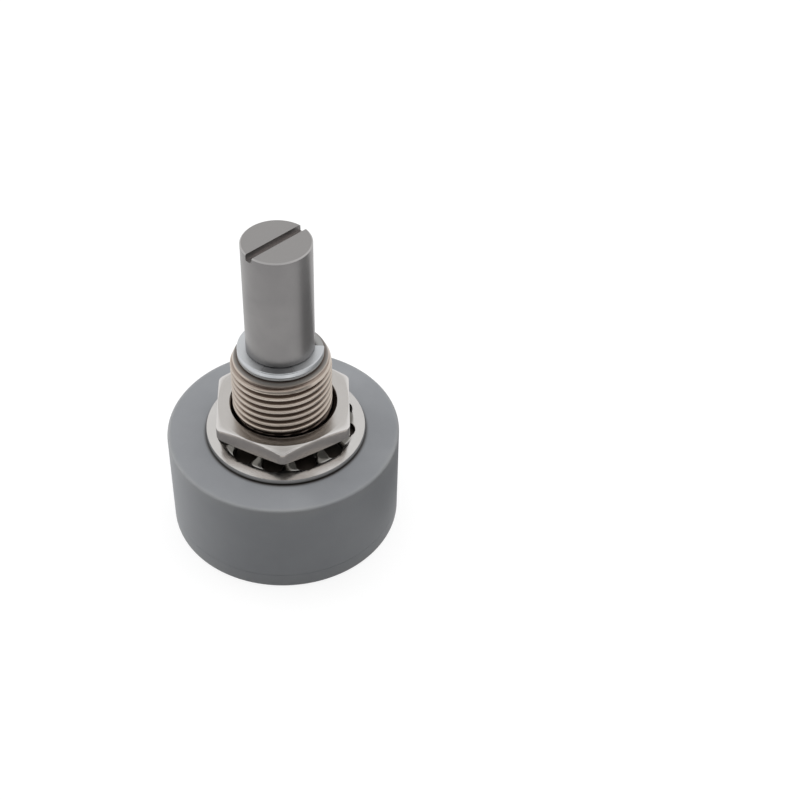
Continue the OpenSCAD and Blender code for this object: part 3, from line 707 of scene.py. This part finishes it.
# plated metal: base and smudge colours, marks that bring in a colour and perhaps a roughness of their own
# (name, from, to, colour, roughness), and bump from grain or lathe marks
metalLooks = {
    "bushingNickel": {"dark": (0.51, 0.447, 0.39), "light": (0.58, 0.512, 0.45), "rough": (0.26, 0.36),
                      "turned": 12000.0, "bump": 0.000002,
                      # painted dark reflection on the lead cone; the lip under the ring gets a grey of its
                      # own
                      "marks": [("endFace", 0.0, 0.5, (0.262, 0.247, 0.232), 0.48),
                                ("endFace", 0.6, 1.0, (0.38, 0.38, 0.375)),
                                # painted shade: the thread's valleys darken with their depth
                                ("threadDepth", 0.08, 0.45, (0.34, 0.28, 0.24)),
                                ("threadDepth", 0.5, 1.0, (0.25, 0.2, 0.17)),
                                # painted shade on the lower flanks, the groove and the thread by the nut
                                ("underFlank", 0.0, 1.0, (0.125, 0.098, 0.083))]},
    "nutNickel": {"dark": (0.475, 0.455, 0.435), "light": (0.53, 0.51, 0.49), "rough": (0.21, 0.27),
                  "grain": 2000.0, "slow": 160.0, "bump": 0.0000005,
                  # painted light: the flanks are lighter and warmer than the top
                  "marks": [("flank", 0.0, 1.0, (0.545, 0.5, 0.465)),
                            # painted shade under the nut and in its countersink
                            ("recess", 0.0, 0.8, (0.06, 0.047, 0.04)),
                            # painted highlight on the top edge's round
                            ("topCorner", 0.3, 1.0, (0.68, 0.66, 0.645), 0.26)]},
    "washerNickel": {"dark": (0.56, 0.545, 0.53), "light": (0.61, 0.595, 0.58), "rough": (0.2, 0.27),
                     "grain": 2000.0, "slow": 180.0, "bump": 0.0000008,
                     # painted shade on the teeth under the nut and on the outer edge's wall
                     "marks": [("recess", 0.1, 0.9, (0.15, 0.143, 0.13))]},
    "shaftSteel": {"dark": (0.218, 0.212, 0.212), "light": (0.255, 0.248, 0.245), "rough": (0.3, 0.4),
                   "turned": 16000.0, "bump": 0.000002,
                   # painted light on the end face
                   "marks": [("endFace", 0.0, 1.0, (0.305, 0.296, 0.292)),
                             # painted light in the slot
                             ("recess", 0.2, 1.0, (0.385, 0.362, 0.354)),
                             # painted highlight on the chamfer
                             ("paintedRimHighlight", 0.0, 1.0, (0.44, 0.43, 0.425))]},
    "ringZinc": {"dark": (0.42, 0.435, 0.45), "light": (0.56, 0.575, 0.59), "rough": (0.1, 0.16),
                 "grain": 2500.0, "slow": 500.0, "bump": 0.000001,
                 "marks": [("tumbled", 0.0, 1.0, (0.58, 0.595, 0.61), 0.42)]},
    "tabGold": {"dark": (0.72, 0.52, 0.24), "light": (0.84, 0.64, 0.32), "rough": (0.24, 0.34),
                "grain": 2500.0, "slow": 240.0, "bump": 0.00000008, "marks": []},
}


def makeMetal(name, s):
    material, tree, shader = startMaterial(name, 1.0, s["rough"][0])
    if "turned" in s:
        pattern = placeGroup(tree, turningGroup, {"Line Scale": s["turned"]})
    else:
        pattern = placeGroup(tree, grainGroup, {"Fine Scale": s["grain"], "Slow Scale": s["slow"]})
    colour = addRamp(tree, pattern.outputs["Shade"], s["dark"], s["light"])
    rough = addRange(tree, pattern.outputs["Height"], noiseSpan, s["rough"])
    for mark, low, high, tint, *ownRough in s["marks"]:
        share = addRange(tree, addMark(tree, mark), (low, high), (0.0, 1.0))
        colour = addMix(tree, share, colour, tint)
        if ownRough:
            rough = addBlend(tree, share, rough, ownRough[0])
    tree.links.new(colour, shader.inputs["Base Color"])
    tree.links.new(rough, shader.inputs["Roughness"])
    addBump(tree, shader, pattern.outputs["Height"], s["bump"])
    return material


# pieces sealed inside the body keep their CAD shape and get a plain grained finish each
innerLooks = {
    "thrustNylon": {"nodes": ["thrust_washer"], "dark": (0.70, 0.67, 0.58), "light": (0.78, 0.75, 0.66),
                    "metallic": 0.0, "rough": 0.45},
    "rotorMoulding": {"nodes": ["rotor"], "dark": (0.035, 0.036, 0.04), "light": (0.06, 0.061, 0.066),
                      "metallic": 0.0, "rough": 0.5},
    "springBronze": {"nodes": ["contact_spring"], "dark": (0.62, 0.40, 0.20), "light": (0.72, 0.50, 0.28),
                     "metallic": 1.0, "rough": 0.3},
    "brushAlloy": {"nodes": ["track_brush", "collector_brush"], "dark": (0.74, 0.66, 0.46),
                   "light": (0.82, 0.74, 0.54), "metallic": 1.0, "rough": 0.25},
    "discLaminate": {"nodes": ["element_disc"], "dark": (0.20, 0.11, 0.05), "light": (0.28, 0.16, 0.075),
                     "metallic": 0.0, "rough": 0.5},
    "trackInk": {"nodes": ["resistive_track"], "dark": (0.012, 0.012, 0.013), "light": (0.025, 0.025, 0.026),
                 "metallic": 0.0, "rough": 0.35},
    "silverInk": {"nodes": ["collector_track", "end_pad_ccw", "end_pad_cw"], "dark": (0.55, 0.55, 0.54),
                  "light": (0.66, 0.66, 0.65), "metallic": 1.0, "rough": 0.45},
    "rivetMetal": {"nodes": ["terminal_rivets"], "dark": (0.60, 0.57, 0.50), "light": (0.70, 0.67, 0.60),
                   "metallic": 1.0, "rough": 0.3},
}
innerGrain = {"fine": 5000.0, "slow": 400.0, "smoother": 0.05, "rougher": 0.08, "bump": 0.000004}


def makeInner(name, s, grainLook):
    material, tree, shader = startMaterial(name, s["metallic"], s["rough"])
    grain = placeGroup(tree, grainGroup, {"Fine Scale": grainLook["fine"], "Slow Scale": grainLook["slow"]})
    colour = addRamp(tree, grain.outputs["Shade"], s["dark"], s["light"])
    roughSpan = (s["rough"] - grainLook["smoother"], s["rough"] + grainLook["rougher"])
    rough = addRange(tree, grain.outputs["Height"], noiseSpan, roughSpan)
    tree.links.new(colour, shader.inputs["Base Color"])
    tree.links.new(rough, shader.inputs["Roughness"])
    addBump(tree, shader, grain.outputs["Height"], grainLook["bump"])
    return material


def dress(piece, material):
    piece.data.materials.clear()
    piece.data.materials.append(material)


metals = {name: makeMetal(name, look) for name, look in metalLooks.items()}
plastic = makePlastic(plasticLook)
for piece in (housingPiece, coverPiece):
    dress(piece, plastic)
for piece, look in ((bushPiece, "bushingNickel"), (nutPiece, "nutNickel"), (washerPiece, "washerNickel"),
                    (ringPiece, "ringZinc"), (shaftPiece, "shaftSteel")):
    dress(piece, metals[look])
for piece in tabPieces:
    dress(piece, metals["tabGold"])
for name, look in innerLooks.items():
    material = makeInner(name, look, innerGrain)
    for node in look["nodes"]:
        dress(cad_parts[node], material)
print("materials made")

white = (1.0, 1.0, 1.0, 1.0)
matte = 0.9  # roughness of the floor and the cards


# 1 for rays that look at a thing: from the camera, by reflection or through glass
def addSeen(tree):
    path = tree.nodes.new("ShaderNodeLightPath")
    seen = addMath(tree, "MAXIMUM", path.outputs["Is Camera Ray"], path.outputs["Is Glossy Ray"])
    return addMath(tree, "MAXIMUM", seen, path.outputs["Is Transmission Ray"])


# stage piece from corner points in metres
def makeStage(name, points, faces):
    mesh = bpy.data.meshes.new(name)
    mesh.from_pydata(points, [], faces)
    piece = bpy.data.objects.new(name, mesh)
    bpy.context.scene.collection.objects.link(piece)
    return piece


# floor: white wherever it is looked at, straight or in metal; to the light it is a mid grey, so that the
# object's sides keep their shade; its size is in metres
floorLook = {"size": 3.0, "points": 3, "grey": 0.47, "seenGrey": 0.24, "glow": 0.81}


def makeFloor(s):
    count = s["points"]
    u = np.linspace(-s["size"], s["size"], count) / 2
    x, y = np.meshgrid(u, u, indexing="ij")
    points = np.stack([x, y, 0 * x], -1).reshape(-1, 3)
    floor = makeStage("floor", points, gridFaces(count, count, False, False, 0)[:, ::-1])
    material, tree, shader = startMaterial("paleFloor", 0.0, matte, 0.0)
    shader.inputs["Emission Color"].default_value = white
    seen = addSeen(tree)
    tree.links.new(addMix(tree, seen, (s["grey"],) * 3, (s["seenGrey"],) * 3), shader.inputs["Base Color"])
    tree.links.new(addMath(tree, "MULTIPLY", seen, s["glow"]), shader.inputs["Emission Strength"])
    dress(floor, material)


# cards that only metal sees: a dark one on the camera's side and one on the floor at the right; millimetres
cardLook = {
    "frontCard": {"low": (-340, -160, 2), "high": (340, -160, 175), "tone": 0.25},
    "sideCard": {"low": (13, -8, 0.5), "high": (50, 24, 0.5), "tone": 0.28},
}


def makeCard(name, s):
    (x0, y0, z0), (x1, y1, z1) = s["low"], s["high"]
    corners = [(x0, y0, z0), (x1, y0, z0), (x1, y1, z1), (x0, y1, z1)]
    card = makeStage(name, np.array(corners) * mm, [(0, 1, 2, 3)])
    for ray in ("camera", "diffuse", "transmission", "volume_scatter", "shadow"):
        setattr(card, "visible_" + ray, False)
    material, tree, shader = startMaterial(name, 0.0, matte, 0.0)
    shader.inputs["Base Color"].default_value = (*(s["tone"],) * 3, 1.0)
    dress(card, material)


# world: white where it is looked at; its light is that of a soft studio, pale above and behind and dim in
# front and at the right; a span is how far a direction leans along an axis where the change starts and ends
worldLook = {"left": 0.45, "right": 0.08, "sideSpan": (-0.9, 0.9), "front": 0.1, "frontSpan": (-0.1, -0.75),
             "back": 0.8, "backSpan": (0.35, 0.85), "above": 1.0, "aboveSpan": (0.55, 0.95)}


def makeWorld(s):
    world = bpy.data.worlds.new("studio")
    world.use_nodes = True
    bpy.context.scene.world = world
    tree = world.node_tree
    background = tree.nodes["Background"]
    split = tree.nodes.new("ShaderNodeSeparateXYZ")
    tree.links.new(tree.nodes.new("ShaderNodeTexCoord").outputs["Generated"], split.inputs[0])
    light = addRange(tree, split.outputs["X"], s["sideSpan"], (s["left"], s["right"]))
    for axis, part in (("Y", "front"), ("Y", "back"), ("Z", "above")):
        share = addRange(tree, split.outputs[axis], s[part + "Span"], (0.0, 1.0))
        light = addBlend(tree, share, light, s[part])
    strength = addBlend(tree, addSeen(tree), light, 1.0)
    tree.links.new(strength, background.inputs["Strength"])
    background.inputs["Color"].default_value = white


# soft boxes: place and size in millimetres and the watts of each, aimed at a point on the axis; metal mirrors
# the white room instead of them
lampLook = {
    "keyLeft": {"place": (-200, 70, 62), "size": 200, "power": 0.29},
    "overhead": {"place": (60, 30, 240), "size": 240, "power": 0.28},
}
lampAim = (0, 0, 12)


def makeLamp(name, s):
    lamp = bpy.data.lights.new(name, "AREA")
    lamp.size = s["size"] * mm
    lamp.energy = s["power"]
    place = Vector(np.array(s["place"]) * mm)
    aim = Vector(np.array(lampAim) * mm) - place
    holder = bpy.data.objects.new(name, lamp)
    holder.visible_glossy = False
    holder.matrix_world = Matrix.Translation(place) @ aim.to_track_quat("-Z", "Y").to_matrix().to_4x4()
    bpy.context.scene.collection.objects.link(holder)


# camera: place in millimetres, angle below the horizon, roll, lens and sensor, and the nearest and farthest
# metres that it sees
cameraLook = {"place": (11.087, -103.148, 111.201), "below": 43.15, "roll": 1.901, "lens": 67.5,
              "sensor": 36.0, "near": 0.005, "far": 5.0}


def makeCamera(s):
    camera = bpy.data.objects.new("camera", bpy.data.cameras.new("camera"))
    camera.data.lens = s["lens"]
    camera.data.sensor_width = s["sensor"]
    camera.data.clip_start = s["near"]
    camera.data.clip_end = s["far"]
    tilt = Matrix.Rotation(math.radians(90 - s["below"]), 4, "X")
    roll = Matrix.Rotation(math.radians(s["roll"]), 4, "Z")
    camera.matrix_world = Matrix.Translation(np.array(s["place"]) * mm) @ (tilt @ roll)
    bpy.context.scene.collection.objects.link(camera)
    bpy.context.scene.camera = camera


makeFloor(floorLook)
for name, look in cardLook.items():
    makeCard(name, look)
makeWorld(worldLook)
for name, look in lampLook.items():
    makeLamp(name, look)
makeCamera(cameraLook)
bpy.context.scene.view_settings.view_transform = "Standard"
print("stage, light and camera set")
